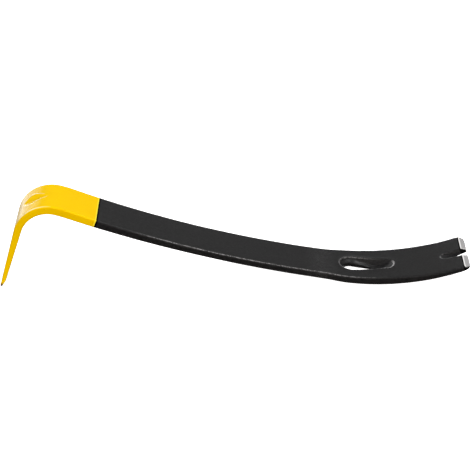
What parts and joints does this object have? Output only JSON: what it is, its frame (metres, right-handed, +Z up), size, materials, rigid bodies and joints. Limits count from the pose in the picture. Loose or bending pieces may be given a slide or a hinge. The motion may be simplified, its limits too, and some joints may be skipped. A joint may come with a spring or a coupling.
{
  "type": "flat pry bar",
  "caption": "Forged flat pry bar with a hooked end, a long arched shank, a nail slot and a notched claw, enamelled yellow and black.",
  "frame": {"origin": "on the bench, under the middle of the bar as it lies on the hook's edge and the heel", "axes": "+X along the bar from the hook to the claw, +Z up, XZ is the plane of symmetry"},
  "size_m": [0.3252, 0.0442, 0.0599],
  "materials": {
    "ground_steel": "ground",
    "yellow_enamel": "gloss",
    "black_enamel": "satin"
  },
  "bodies": {
    "root": {"forged_bar": "ground_steel", "yellow_enamel": "yellow_enamel", "black_enamel": "black_enamel"}
  },
  "joints": []
}
